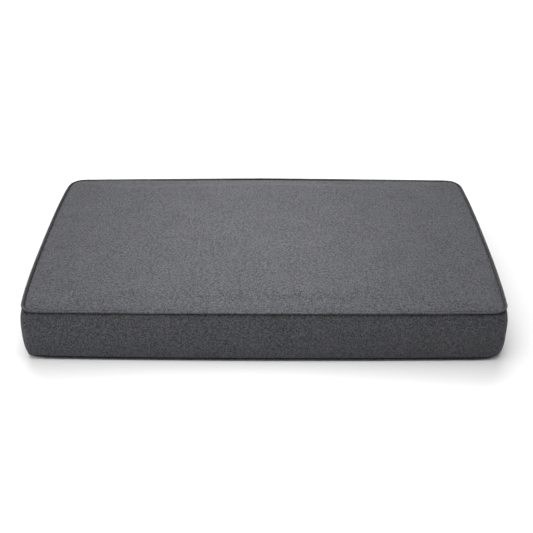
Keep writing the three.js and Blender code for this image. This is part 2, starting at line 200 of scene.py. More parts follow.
class Nodes:
    """Short forms for building one material's node tree."""

    def __init__(self, name):
        self.material = bpy.data.materials.new(name)
        self.material.use_nodes = True
        self.tree = self.material.node_tree
        self.shader = self.tree.nodes["Principled BSDF"]

    def node(self, kind, **settings):
        made = self.tree.nodes.new(kind)
        for key, value in settings.items():
            setattr(made, key, value)
        return made

    def link(self, source, target):
        self.tree.links.new(source, target)

    def put(self, socket, value):
        if isinstance(value, bpy.types.NodeSocket):
            self.link(value, socket)
        else:
            socket.default_value = value

    def math(self, operation, a, b=0.0, c=0.0):
        made = self.node("ShaderNodeMath", operation=operation)
        for socket, value in zip(made.inputs, (a, b, c)):
            self.put(socket, value)
        return made.outputs[0]

    def mix(self, factor, a, b):
        made = self.node("ShaderNodeMix", data_type="FLOAT")
        self.put(made.inputs["Factor"], factor)
        self.put(made.inputs["A"], a)
        self.put(made.inputs["B"], b)
        return made.outputs["Result"]

    def vector(self, x, y, z=0.0):
        made = self.node("ShaderNodeCombineXYZ")
        for socket, value in zip(made.inputs, (x, y, z)):
            self.put(socket, value)
        return made.outputs[0]

    def noise(self, vector, scale, detail=2.0, roughness=0.5):
        made = self.node("ShaderNodeTexNoise")
        self.link(vector, made.inputs["Vector"])
        made.inputs["Scale"].default_value = scale
        made.inputs["Detail"].default_value = detail
        made.inputs["Roughness"].default_value = roughness
        return made.outputs["Fac"]

    def ramp(self, factor, stops):
        made = self.node("ShaderNodeValToRGB")
        self.link(factor, made.inputs["Fac"])
        elements = made.color_ramp.elements
        while len(elements) < len(stops):
            elements.new(0.5)
        for element, (place, colour) in zip(elements, stops):
            element.position = place
            element.color = (*colour, 1)
        return made.outputs["Color"]

    def bump(self, height, distance, strength=1.0):
        made = self.node("ShaderNodeBump")
        self.put(made.inputs["Height"], height)
        made.inputs["Distance"].default_value = distance
        made.inputs["Strength"].default_value = strength
        return made.outputs["Normal"]

    def set(self, **values):
        for name, value in values.items():
            self.put(self.shader.inputs[name.replace("_", " ")], value)
        return self.material


def cloth_position(nodes):
    return nodes.node("ShaderNodeAttribute", attribute_name="cloth").outputs["Vector"]


def object_position(nodes):
    return nodes.node("ShaderNodeTexCoord").outputs["Object"]


def split(nodes, vector):
    made = nodes.node("ShaderNodeSeparateXYZ")
    nodes.link(vector, made.inputs[0])
    return made.outputs


def plain_weave(nodes, u, v):
    """Height, yarn tone and crossing tone of a plain weave, with u and v counted in yarns."""
    across_u = nodes.math("FRACT", u)
    across_v = nodes.math("FRACT", v)
    row_u = nodes.math("FLOOR", u)
    row_v = nodes.math("FLOOR", v)
    over = nodes.math("PINGPONG", nodes.math("ADD", row_u, row_v), 1.0)

    def arch(fraction):
        centred = nodes.math("MULTIPLY_ADD", fraction, 2.0, -1.0)
        return nodes.math("SUBTRACT", 1.0, nodes.math("MULTIPLY", centred, centred))

    arch_u = arch(across_u)
    arch_v = arch(across_v)
    warp = nodes.math("MULTIPLY", arch_u, nodes.math("MULTIPLY_ADD", arch_v, 0.5, 0.5))
    weft = nodes.math("MULTIPLY", arch_v, nodes.math("MULTIPLY_ADD", arch_u, 0.5, 0.5))
    height = nodes.mix(over, warp, weft)
    crossing = nodes.node("ShaderNodeTexWhiteNoise", noise_dimensions="2D")
    nodes.link(nodes.vector(row_u, row_v), crossing.inputs["Vector"])

    yarn_run = 0.42                                 # tone changes along a yarn, per yarn width
    warp_place = nodes.vector(row_u, nodes.math("MULTIPLY", v, yarn_run), 3.7)
    weft_place = nodes.vector(nodes.math("MULTIPLY", u, yarn_run), row_v, 9.1)
    warp_tone = nodes.noise(warp_place, 1.0, 3.0, 0.7)
    weft_tone = nodes.noise(weft_place, 1.0, 3.0, 0.7)
    return height, nodes.mix(over, warp_tone, weft_tone), crossing.outputs["Value"]


def mix_in_painted_shade(nodes, colour):
    # Painted shade: the cloth colour is mixed towards a near-black crease colour by the seam attribute.
    most, crease_shadow_colour = 0.72, (0.004, 0.004, 0.005, 1)
    seam = nodes.node("ShaderNodeAttribute", attribute_name="seam").outputs["Fac"]
    shaded = nodes.node("ShaderNodeMix", data_type="RGBA")
    nodes.link(nodes.math("MULTIPLY", seam, most), shaded.inputs["Factor"])
    nodes.link(colour, shaded.inputs["A"])
    shaded.inputs["B"].default_value = crease_shadow_colour
    return shaded.outputs["Result"]


def heathered_cloth(name, dark, light, pitch=0.95 * MM):
    """The cover's cloth: a plain weave of mixed dark and light yarns."""
    nodes = Nodes(name)
    position = cloth_position(nodes)
    wander = nodes.noise(position, 45.0, 2.0)
    x, y, _ = split(nodes, position)                # along the warp and the weft
    bend = nodes.math("MULTIPLY", nodes.math("SUBTRACT", wander, 0.5), 0.9)
    u = nodes.math("ADD", nodes.math("DIVIDE", x, pitch), bend)
    v = nodes.math("ADD", nodes.math("DIVIDE", y, pitch), bend)
    height, tone, crossing = plain_weave(nodes, u, v)

    fleck = nodes.noise(position, 1500.0, 2.0, 0.8)
    grain = nodes.noise(position, 760.0, 1.0)
    speck = nodes.noise(position, 330.0, 2.0, 0.6)
    patch = nodes.noise(position, 26.0, 2.0)
    mixed = 0.5
    for part, middle, weight in (
        (tone, 0.5, 1.0),
        (crossing, 0.5, 0.6),
        (fleck, 0.5, 1.6),
        (grain, 0.5, 1.1),
        (speck, 0.5, 0.9),
        (patch, 0.5, 0.22),
        (height, 0.6, 0.28),
    ):
        mixed = nodes.math("MULTIPLY_ADD", nodes.math("SUBTRACT", part, middle), weight, mixed)
    colour = nodes.ramp(mixed, [(0.12, dark), (0.88, light)])
    # Painted shade in the seams, creases and under the piping.
    colour = mix_in_painted_shade(nodes, colour)

    fibre = nodes.noise(position, 2600.0, 1.0)
    relief = nodes.math("MULTIPLY_ADD", fibre, 0.18, height)
    normal = nodes.bump(relief, 0.16 * MM, 0.8)
    return nodes.set(
        Base_Color=colour,
        Normal=normal,
        Roughness=0.93,
        Sheen_Weight=0.12,
        Sheen_Roughness=0.4,
        Specular_IOR_Level=0.12,
    )


def slanted_ribs(nodes, across, up, per_metre):
    """Ribs at 45 degrees to both directions, from 0 between them to 1 on top."""
    across, up = (nodes.math("MULTIPLY", place, per_metre) for place in (across, up))
    return nodes.math("PINGPONG", nodes.math("ADD", across, up), 1.0)


def twill_tape(name, dark, light):
    """Zip tape: fine slanted ribs."""
    nodes = Nodes(name)
    position = object_position(nodes)
    x, _, z = split(nodes, position)
    rib = slanted_ribs(nodes, x, z, 1400.0)
    fleck = nodes.noise(position, 900.0, 2.0)
    tone = nodes.math("MULTIPLY_ADD", rib, 0.5, nodes.math("MULTIPLY", fleck, 0.5))
    colour = nodes.ramp(tone, [(0.2, dark), (0.8, light)])
    normal = nodes.bump(rib, 0.1 * MM, 0.7)
    return nodes.set(Base_Color=colour, Normal=normal, Roughness=0.85, Specular_IOR_Level=0.2)


def coil_nylon(name):
    nodes = Nodes(name)
    cloud = nodes.noise(object_position(nodes), 600.0, 2.0)
    colour = nodes.ramp(cloud, [(0.3, (0.018, 0.019, 0.021)), (0.7, (0.034, 0.035, 0.038))])
    rough = nodes.math("MULTIPLY_ADD", cloud, 0.2, 0.25)
    return nodes.set(Base_Color=colour, Roughness=rough)


def zip_metal(name):
    """Lacquered gunmetal with fine rub marks."""
    nodes = Nodes(name)
    position = object_position(nodes)
    cloud = nodes.noise(position, 350.0, 3.0, 0.6)
    stretch = nodes.node("ShaderNodeMapping")
    nodes.link(position, stretch.inputs["Vector"])
    stretch.inputs["Scale"].default_value = (0.08, 1.0, 1.0)
    rub = nodes.noise(stretch.outputs[0], 5200.0, 2.0)
    colour = nodes.ramp(cloud, [(0.3, (0.17, 0.172, 0.178)), (0.75, (0.27, 0.272, 0.28))])
    rough = nodes.math("MULTIPLY_ADD", rub, 0.22, 0.2)
    normal = nodes.bump(rub, 0.01 * MM, 0.5)
    return nodes.set(Base_Color=colour, Roughness=rough, Metallic=0.95, Normal=normal)


def open_foam(name):
    nodes = Nodes(name)
    position = object_position(nodes)
    cell = nodes.node("ShaderNodeTexVoronoi", feature="F1")
    nodes.link(position, cell.inputs["Vector"])
    cell.inputs["Scale"].default_value = 900.0
    pores = cell.outputs["Distance"]
    patch = nodes.noise(position, 30.0, 3.0)
    tone = nodes.math("MULTIPLY_ADD", patch, 0.3, pores)
    colour = nodes.ramp(tone, [(0.15, (0.62, 0.58, 0.44)), (0.85, (0.78, 0.75, 0.62))])
    return nodes.set(Base_Color=colour, Roughness=0.95, Normal=nodes.bump(pores, 0.3 * MM, 0.9))


def polyester_wadding(name):
    nodes = Nodes(name)
    position = object_position(nodes)
    strands = nodes.noise(position, 320.0, 6.0, 0.75)
    colour = nodes.ramp(strands, [(0.3, (0.72, 0.71, 0.68)), (0.7, (0.88, 0.87, 0.84))])
    return nodes.set(
        Base_Color=colour,
        Normal=nodes.bump(strands, 0.8 * MM, 1.0),
        Roughness=0.98,
        Sheen_Weight=0.4,
        Sheen_Roughness=0.5,
    )


def twisted_cord(name):
    nodes = Nodes(name)
    x, y, _ = split(nodes, cloth_position(nodes))
    strand = slanted_ribs(nodes, x, y, 900.0)
    colour = nodes.ramp(strand, [(0.1, (0.5, 0.48, 0.42)), (0.7, (0.74, 0.72, 0.66))])
    return nodes.set(Base_Color=colour, Roughness=0.9, Normal=nodes.bump(strand, 0.2 * MM, 0.8))


def satin_label(name):
    nodes = Nodes(name)
    position = object_position(nodes)
    ribs = nodes.math("PINGPONG", nodes.math("MULTIPLY", split(nodes, position)[0], 5200.0), 1.0)
    cloud = nodes.noise(position, 240.0, 3.0)
    tone = nodes.math("MULTIPLY_ADD", ribs, 0.3, nodes.math("MULTIPLY", cloud, 0.7))
    colour = nodes.ramp(tone, [(0.2, (0.4, 0.4, 0.395)), (0.8, (0.52, 0.52, 0.51))])
    return nodes.set(Base_Color=colour, Roughness=0.42, Normal=nodes.bump(ribs, 0.03 * MM, 0.6))


def sewing_thread(name):
    nodes = Nodes(name)
    x, _, z = split(nodes, object_position(nodes))
    twist = nodes.math("PINGPONG", nodes.math("MULTIPLY", nodes.math("ADD", x, z), 4200.0), 1.0)
    colour = nodes.ramp(twist, [(0.1, (0.05, 0.051, 0.055)), (0.8, (0.115, 0.117, 0.125))])
    return nodes.set(Base_Color=colour, Roughness=0.6, Normal=nodes.bump(twist, 0.05 * MM, 0.7))


# ---- the cover's shape in plan --------------------------------------------------------------

def outline(p, q, half_x, front_corner, rear_corner, side_bow, bow_power, front_bow, rear_bow):
    """Plan position of the cloth point (p, q), each from -1 to 1, inside a rounded rectangle
    whose edges bow outward. It is sewn a little askew: the right side slants."""
    right_front_extra = 3 * MM
    half_y = SEAM_HALF_Y
    x, y = np.abs(p) * half_x, np.abs(q) * half_y
    radius = np.where(q < 0, front_corner + np.where(p > 0, right_front_extra, 0), rear_corner)
    straight_x, straight_y = half_x - radius, half_y - radius
    a = np.clip((x - straight_x) / radius, 0, 1)
    b = np.clip((y - straight_y) / radius, 0, 1)
    x = np.minimum(x, straight_x) + radius * a * np.sqrt(1 - b * b / 2)
    y = np.minimum(y, straight_y) + radius * b * np.sqrt(1 - a * a / 2)
    along = np.clip(y / half_y, 0, 1)
    x = x * (1 + side_bow / half_x * (1 - along**bow_power))
    bow = np.where(q < 0, front_bow, rear_bow) * (1 - np.clip(x / half_x, 0, 1) ** 2)
    y = y + bow * np.abs(q)
    slant = 1.1 * np.clip(-q, 0, 1) ** 3 - 1.0 * np.clip(q + 0.3, 0, 1)
    push = slant * MM * np.clip(p, 0, 1) ** 6
    return np.sign(p) * x + push, np.sign(q) * y + MID_Y


def top_outline(p, q):
    left_front_out = 0.9 * MM
    x, y = outline(
        p,
        q,
        half_x=SEAM_HALF_X,
        front_corner=11 * MM,
        rear_corner=16 * MM,
        side_bow=4.0 * MM,
        bow_power=3,
        front_bow=3.0 * MM,
        rear_bow=2.0 * MM,
    )
    return x + left_front_out * np.clip(-p, 0, 1) ** 6 * np.clip(-q, 0, 1) ** 6, y


def middle_outline(p, q):
    front_out, rear_out = 1.2 * MM, 2.4 * MM
    x, y = outline(
        p,
        q,
        half_x=SEAM_HALF_X + 2.2 * MM,
        front_corner=5.5 * MM,
        rear_corner=9 * MM,
        side_bow=7.4 * MM,
        bow_power=3.8,
        front_bow=3.0 * MM,
        rear_bow=0,
    )
    return x, y + np.where(q < 0, -front_out, rear_out) * np.abs(q)


def bottom_outline(p, q):
    return outline(
        p,
        q,
        half_x=SEAM_HALF_X + 0.3 * MM,
        front_corner=4.5 * MM,
        rear_corner=10 * MM,
        side_bow=4.5 * MM,
        bow_power=3,
        front_bow=2.5 * MM,
        rear_bow=0.5 * MM,
    )


def spaced(count, extra=()):
    """Values from -1 to 1, closer together towards both ends, with extra ones put in."""
    crowding = 0.8
    t = np.linspace(-1, 1, count + 1)
    values = (1 - crowding) * t + crowding * np.sin(math.pi * t / 2)
    for value in extra:
        values[np.argmin(np.abs(values - value))] = value
    return values


ZIP_END = ZIP_HALF / SEAM_HALF_X
COLUMNS = spaced(116, (-ZIP_END, ZIP_END))
ROWS = spaced(74)
HALF_LEVELS = [0.205, 0.34, 0.48, 0.62, 0.75, 0.86, 0.94, 1.0]
LEVELS = np.array([-v for v in reversed(HALF_LEVELS)] + [0.0] + HALF_LEVELS)


def edge_loop():
    """Grid places (row, column) round the panel's edge, anticlockwise from the front left."""
    last_row, last_column = len(ROWS) - 1, len(COLUMNS) - 1
    front = [(0, c) for c in range(last_column)]
    right = [(r, last_column) for r in range(last_row)]
    rear = [(last_row, c) for c in range(last_column, 0, -1)]
    left = [(r, 0) for r in range(last_row, 0, -1)]
    return front + right + rear + left


LOOP = edge_loop()
LOOP_ROWS, LOOP_COLUMNS = np.array(LOOP).T
LOOP_P = np.array([COLUMNS[c] for _, c in LOOP])
LOOP_Q = np.array([ROWS[r] for r, _ in LOOP])


def edge_distance(x, y):
    """How far a plan point of the top panel is from its rounded edge."""
    radius = 12 * MM
    bow = 5 * MM * (1 - np.clip(np.abs(y - MID_Y) / SEAM_HALF_Y, 0, 1) ** 3)
    dx = np.abs(x) - (SEAM_HALF_X + bow - radius)
    dy = np.abs(y - MID_Y) - (SEAM_HALF_Y + 1.5 * MM - radius)
    outside = np.hypot(np.maximum(dx, 0), np.maximum(dy, 0))
    return radius - outside - np.minimum(np.maximum(dx, dy), 0)


def seam_rise(p, q):
    """The top seam stands a little higher between the corners than at them."""
    rear_peak = 2.8 * MM * (1 - np.abs(p)) * np.clip(q, 0, 1) ** 2
    return 2.6 * MM * (1 - (p * q) ** 2) + rear_peak


def corner_lift(x, y):
    """The underside's corners curl up off the floor."""
    away = np.hypot(SEAM_HALF_X - np.abs(x), SEAM_HALF_Y - np.abs(y - MID_Y))
    flat_corner = (x > 0) & (y < MID_Y)
    curl = np.where(flat_corner, 0.1 * MM, 0.9 * MM)
    tip = np.where(flat_corner, 4.4 * MM, 1.2 * MM)
    return curl * fade(away, 34 * MM) + tip * bell(away, 7 * MM)


def top_surface():
    q, p = np.meshgrid(ROWS, COLUMNS, indexing="ij")
    x, y = top_outline(p, q)
    inward = np.clip(edge_distance(x, y), 0, None)
    roll = 4.4 * MM * (1 - fade(inward, 5 * MM))
    dome = 2.2 * MM * (1 - np.abs(p) ** 1.3) * (1 - q**6)
    z = TOP_SEAM_Z - 1.4 * MM + seam_rise(p, q) + roll + dome
    return np.stack([x, y, z], -1)


def bottom_surface():
    q, p = np.meshgrid(ROWS, COLUMNS, indexing="ij")
    x, y = bottom_outline(p, q)
    rim_width = 10 * MM
    rim_x = np.abs(p * SEAM_HALF_X) - (SEAM_HALF_X - rim_width)
    rim_y = np.abs(q * SEAM_HALF_Y) - (SEAM_HALF_Y - rim_width)
    rim = np.maximum(rim_x, rim_y)
    rise = np.clip(rim / rim_width, 0, 1) ** 2
    lift = corner_lift(x, y) * np.clip((rim + 22 * MM) / (32 * MM), 0, 1)
    z = BOTTOM_SEAM_Z * rise + lift
    return np.stack([x, y, z], -1)


def boxing_surface(top, bottom):
    """Rows of the side band from the bottom seam up to the top seam."""
    xm, ym = middle_outline(LOOP_P, LOOP_Q)
    rows = []
    for level in LEVELS:
        end = (top if level > 0 else bottom)[LOOP_ROWS, LOOP_COLUMNS]
        share = abs(level) ** 4
        x = xm + (end[:, 0] - xm) * share
        y = ym + (end[:, 1] - ym) * share
        z = MID_Z + (end[:, 2] - MID_Z) * abs(level)
        rows.append(np.stack([x, y, z], -1))
    return np.array(rows)


def in_zip_window(level):
    return (np.abs(LOOP_P) <= ZIP_END + 1e-6) & (LOOP_Q > 0.999) & (abs(level) <= 0.206)


def build_shell(top, bottom, boxing):
    """One closed cloth shell out of panel, band and underside, welded along the seams."""
    rows, columns = len(ROWS), len(COLUMNS)
    count = rows * columns
    vertices = [top.reshape(-1, 3), bottom.reshape(-1, 3), boxing[1:-1].reshape(-1, 3)]
    faces = grid_faces(rows, columns)
    faces += [tuple(count + i for i in reversed(f)) for f in grid_faces(rows, columns)]
    loop_ids = LOOP_ROWS * columns + LOOP_COLUMNS
    band = [count + loop_ids]
    for level in range(len(LEVELS) - 2):
        band.append(2 * count + level * len(LOOP) + np.arange(len(LOOP)))
    band.append(loop_ids)
    faces += ring_faces(band)
    held = list(loop_ids) + list(count + np.arange(count))
    for level, ids in zip(LEVELS, band):
        held += list(ids[in_zip_window(level)])
    return mesh_object("shell", np.concatenate(vertices), faces), held


def inflate(shell, held):
    """Blows the cover up like a filled one: its seams, underside and zip edges stay where sewn."""
    group = shell.vertex_groups.new(name="held")
    group.add([int(i) for i in held], 1.0, "REPLACE")
    cloth = shell.modifiers.new("cloth", "CLOTH")
    settings = cloth.settings
    settings.quality = 6
    settings.mass = 0.35
    settings.tension_stiffness = settings.compression_stiffness = 12
    settings.shear_stiffness = 6
    settings.bending_stiffness = 1.2
    settings.use_pressure = True
    settings.uniform_pressure_force = 4.0
    settings.shrink_min = -0.004
    settings.vertex_group_mass = "held"
    settings.effector_weights.gravity = 0
    cloth.collision_settings.use_self_collision = False
    cloth.collision_settings.use_collision = False
    scene = bpy.context.scene
    last = 20
    cloth.point_cache.frame_start, cloth.point_cache.frame_end = 1, last
    for number in range(1, last + 1):
        scene.frame_set(number)
    depsgraph = bpy.context.evaluated_depsgraph_get()
    mesh = shell.evaluated_get(depsgraph).to_mesh()
    points = np.empty(len(mesh.vertices) * 3)
    mesh.vertices.foreach_get("co", points)
    scene.frame_set(1)
    return points.reshape(-1, 3)


def cushion_surfaces():
    """The cover's three surfaces after inflating, with the crown as high as the CAD model's."""
    top, bottom = top_surface(), bottom_surface()
    boxing = boxing_surface(top, bottom)
    shell, held = build_shell(top, bottom, boxing)
    start = np.array([v.co for v in shell.data.vertices])
    move = np.zeros_like(start)
    move = inflate(shell, held) - start
    count = top.shape[0] * top.shape[1]
    boxing_limit, crown_limit = 2.2 * MM, 1.0 * MM  # the most that a point may move
    limit = np.full((len(start), 1), boxing_limit)
    limit[:count] = crown_limit
    above_floor = 1 - np.clip(-LEVELS[1:-1], 0, 1) ** 4
    limit[2 * count:] *= np.repeat(above_floor, len(LOOP))[:, None]
    length = np.linalg.norm(move, axis=1, keepdims=True)
    move *= np.minimum(1, limit / np.maximum(length, 1e-9))
    print("inflated by up to", round(float(length.max()) / MM, 2), "mm")
    bpy.data.objects.remove(shell)
    moved = start + move
    top_after = moved[:count].reshape(top.shape)
    rise = CROWN_Z - 0.05 * MM - top_after[..., 2].max()
    swell = np.clip((top_after[..., 2] - TOP_SEAM_Z) / (CROWN_Z - TOP_SEAM_Z), 0, 1)
    top_after[..., 2] += rise * swell
    boxing_after = boxing.copy()
    boxing_after[1:-1] = moved[2 * count:].reshape(boxing[1:-1].shape)
    return top_after, moved[count:2 * count].reshape(bottom.shape), boxing_after


TOP, BOTTOM, BOXING = cushion_surfaces()


# ---- cover pieces ---------------------------------------------------------------------------

def edge_directions(points):
    """Unit outward directions in plan of a closed anticlockwise run of points."""
    along = np.roll(points, -1, 0) - np.roll(points, 1, 0)
    return unit(np.stack([along[:, 1], -along[:, 0], np.zeros(len(along))], -1))


def run_length(points):
    """Distance along a run of points, from 0 at the first."""
    steps = np.linalg.norm(np.diff(points, axis=0), axis=1)
    return np.concatenate([[0], np.cumsum(steps)])


EDGE_ONLY = 24                                      # a power that leaves only a panel's edge strip


def groove_depth(p, q):
    """How deep the panel sinks beside the piping: most on the short sides, least at the rear."""
    beside = np.abs(p) ** EDGE_ONLY
    front_or_rear = np.abs(q) ** EDGE_ONLY
    corner_slack = 1 - 0.75 * fade(SEAM_HALF_Y * (1 - np.abs(q)), 5 * MM)
    ends = np.where(q < 0, 0.35 + 0.4 * p**2, 0.15 + 0.45 * p**8)
    return (beside * corner_slack + front_or_rear * ends) / np.maximum(beside + front_or_rear, 1e-9)


LOOP_GROOVE = groove_depth(LOOP_P, LOOP_Q)[:, None]


def panel(name, surface, up):
    """A top or bottom panel, whose edge rolls down beside the piping."""
    q, p = np.meshgrid(ROWS, COLUMNS, indexing="ij")
    inward = np.minimum(SEAM_HALF_X * (1 - np.abs(p)), SEAM_HALF_Y * (1 - np.abs(q)))
    depth = groove_depth(p, q)
    right_side = np.clip(p, 0, 1) ** EDGE_ONLY
    edge_pull = 0.75 * MM - 0.2 * MM * depth - 0.5 * MM * right_side
    groove_pull = 0.45 * MM * depth
    pull = edge_pull * fade(inward, 1.2 * MM)
    pull += groove_pull * bell(inward - 0.8 * MM, 0.6 * MM)
    toward_middle = np.stack([-np.sign(p) * np.abs(p) ** 30, -np.sign(q) * np.abs(q) ** 30, 0 * p], -1)
    toward_middle /= np.maximum(np.linalg.norm(toward_middle, axis=-1, keepdims=True), 1e-9)
    stitch_pull = rng.normal(0, 1, p.shape) * 0.25 * MM * fade(inward, 0.9 * MM) * depth
    surface = surface + pull[..., None] * toward_middle
    groove = 3.1 * MM * fade(inward, 0.8 * MM)
    shoulder = 0.5 * MM * bell(inward - 1.6 * MM, 1.0 * MM)
    surface[..., 2] -= up * (depth * (groove - shoulder) + stitch_pull)
    faces = grid_faces(*p.shape)
    vertices = surface.reshape(-1, 3)
    piece = mesh_object(name, vertices, faces if up > 0 else flipped(faces))
    set_cloth_coordinates(piece, vertices * (1, 1, 0))
    # Painted shade: darker in the groove beside the piping, and on the front edge's roll, where it turns away
    # from the light.
    groove_painted_shade = fade(inward, 1.1 * MM) * (0.05 + 1.1 * depth)
    front_roll_painted_shade = 0.16 * fade(inward, 4 * MM) * np.clip(-q, 0, 1) ** 8 * (1 - depth)
    set_painted_seam_shade(piece, groove_painted_shade + front_roll_painted_shade)
    thicken(piece, CLOTH)
    return piece


def band_piece(name, columns, levels):
    """A stretch of the side band, its edges tucked behind the piping or rounded at the zip."""
    ids = np.asarray(columns)
    out = edge_directions(BOXING[len(LEVELS) // 2])[ids]
    rows = [BOXING[level][ids] for level in levels]
    for end, up in ((-1, 1), (0, -1)):
        at_seam = levels[end] in (0, len(LEVELS) - 1)
        if at_seam and up > 0:
            tuck, drop = 1.4 * MM, 0.1 * MM + 1.4 * MM * LOOP_GROOVE[ids]
        elif at_seam:
            tuck, drop = -0.5 * MM, 1.2 * MM        # it flares a little over the bottom piping
        else:
            tuck, drop = 0.15 * MM, 0
        rows[end] = rows[end] - tuck * out - up * drop * UP
    points = np.array(rows)
    along = run_length(points[len(points) // 2])
    flat = np.zeros(points.shape)
    flat[..., 0] = along[None, :] + rng.uniform(0, 1)
    flat[..., 1] = points[..., 2]
    piece = mesh_object(name, points.reshape(-1, 3), grid_faces(*points.shape[:2]))
    set_cloth_coordinates(piece, flat.reshape(-1, 3))
    # Painted shadow: darker just under the top piping, and a little just above the bottom seam.
    below_top = TOP[LOOP_ROWS, LOOP_COLUMNS, 2][ids] - points[..., 2]
    above_bottom = points[..., 2] - BOTTOM[LOOP_ROWS, LOOP_COLUMNS, 2][ids]
    set_painted_seam_shade(piece, 1.2 * bell(below_top, 2.0 * MM) + 0.15 * bell(above_bottom, 0.8 * MM))
    thicken(piece, CLOTH)
    return piece


def puckered(length):
    """Sizes of the piping's lip along its run: a little thicker and thinner every few millimetres."""
    places = np.arange(0, length[-1] + 6 * MM, 3 * MM)
    sizes = 1 + 0.05 * np.interp(length, places, rng.normal(0, 1, len(places)))
    sizes[-2:] = 1.05 * sizes[:2]                   # the end laps over the beginning
    return sizes


def piping(name, edge, radius, up):
    """The folded strip along a seam: a round lip with its flange running in behind it."""
    rear_middle = int(np.argmax(edge[:, 1] - 0.2 * np.abs(edge[:, 0])))
    order = np.concatenate([np.arange(len(edge)), [0, 1]])
    order = (order + rear_middle) % len(edge)
    out, groove = edge_directions(edge)[order], LOOP_GROOVE[order]
    centres = edge[order] + PIPING_OUT * out
    reach, layer = 3.2 * MM, 0.35 * MM
    turn = math.pi - math.asin(layer / radius)
    angles = np.linspace(-turn, turn, 15)
    section = [(-reach, -layer)]
    section += [(radius * math.cos(a), radius * math.sin(a)) for a in angles]
    section += [(-reach, layer)]
    most_tilt = math.radians(60)                    # how far the lip leans over a full groove
    tilt = up * most_tilt * groove
    sides, ups = np.cos(tilt) * out + np.sin(tilt) * UP, np.cos(tilt) * UP - np.sin(tilt) * out
    rows = sweep(centres, sides, ups, section)
    length, girth = run_length(centres)[:, None], run_length(np.array(section))[None, :]
    rows = centres[:, None] + (rows - centres[:, None]) * puckered(length[:, 0])[:, None, None]
    bias = math.sqrt(0.5)
    flat = np.zeros(rows.shape)
    flat[..., 0] = (length + girth) * bias
    flat[..., 1] = (length - girth) * bias
    vertices = rows.transpose(1, 0, 2).reshape(-1, 3)
    piece = mesh_object(name, vertices, grid_faces(len(section), len(order)))
    set_cloth_coordinates(piece, flat.transpose(1, 0, 2).reshape(-1, 3))
    # Painted shade: the lip is darker on its underside and on its groove side, and the bottom piping a little
    # all over.
    facing = (rows - centres[:, None]) / radius
    underside_painted_shade = np.clip(-0.9 * up * facing[..., 2] - 0.1, 0, 1)
    inner = np.clip(-(facing * out[:, None]).sum(-1) - 0.1, 0, 1) * groove
    all_over_painted_shade = 0 if up > 0 else 0.1
    set_painted_seam_shade(piece, (np.maximum(underside_painted_shade, inner) + all_over_painted_shade).T)
    thicken(piece, 0.4 * MM)
    return piece


def closely(values, steps):
    """A closed run of points with steps points for each one before."""
    wrapped = np.concatenate([values, values[:1]])
    places = np.arange(len(values) * steps) / steps
    return np.stack([np.interp(places, np.arange(len(wrapped)), wrapped[:, k]) for k in range(3)], -1)


def cord_ring(name, edge, radius):
    """The cord inside the piping: three strands twisted together."""
    steps, around, strands, twist = 5, 6, 3, 7 * MM
    sides = closely(edge_directions(edge), steps)
    centres = closely(edge, steps) + PIPING_OUT * sides
    count = len(centres)
    ups = np.tile(UP, (count, 1))
    length = run_length(centres)
    turns = round(length[-1] / twist)
    angle = 2 * math.pi * turns * np.arange(count) / count
    vertices, faces, flat = [], [], []
    for strand in range(strands):
        swing = (angle + strand * 2 * math.pi / strands)[:, None]
        middle = centres + radius * 0.5 * (np.cos(swing) * sides + np.sin(swing) * ups)
        rings = list(len(vertices) + np.arange(count * around).reshape(count, around))
        vertices += list(sweep(middle, sides, ups, circle(radius * 0.5, around)).reshape(-1, 3))
        flat += [(length[i], k * radius / around, 0) for i in range(count) for k in range(around)]
        faces += flipped(ring_faces(rings + rings[:1]))
    piece = mesh_object(name, vertices, faces)
    set_cloth_coordinates(piece, flat)
    return piece


COVER_CLOTH = heathered_cloth("cover_cloth", (0.0217, 0.022, 0.0242), (0.0828, 0.0836, 0.0908))
# The piping's cloth is drawn lighter than the cover's: painted highlight for the light caught along the
# piping's rim.
PIPING_CLOTH = heathered_cloth("piping_cloth", (0.026, 0.0264, 0.0285), (0.092, 0.093, 0.099))
CORD = twisted_cord("piping_cord")

for name, surface, up in (("top_panel", TOP, 1), ("bottom_panel", BOTTOM, -1)):
    cloth = panel(f"{name}_cloth", surface, up)
    add_piece(cloth, "cover", "cover_cloth", COVER_CLOTH, name)

REAR_COLUMNS = [i for i in range(len(LOOP)) if LOOP_Q[i] > 0.999 and abs(LOOP_P[i]) <= ZIP_END + 1e-6]
STRIP_COLUMNS = [i % len(LOOP) for i in range(REAR_COLUMNS[-1], REAR_COLUMNS[0] + len(LOOP) + 1)]
ALL_LEVELS = list(range(len(LEVELS)))
UPPER_LEVELS = [k for k in ALL_LEVELS if LEVELS[k] > 0.2]
LOWER_LEVELS = [k for k in ALL_LEVELS if LEVELS[k] < -0.2]

for name, columns, levels, fill in (
    ("boxing_strip", STRIP_COLUMNS, ALL_LEVELS, 0.9),
    ("rear_boxing_upper", REAR_COLUMNS, UPPER_LEVELS, 0.8),
    ("rear_boxing_lower", REAR_COLUMNS, LOWER_LEVELS, 0.8),
):
    cloth = band_piece(f"{name}_cloth", columns, levels)
    add_piece(cloth, "cover", "cover_cloth", COVER_CLOTH, name)

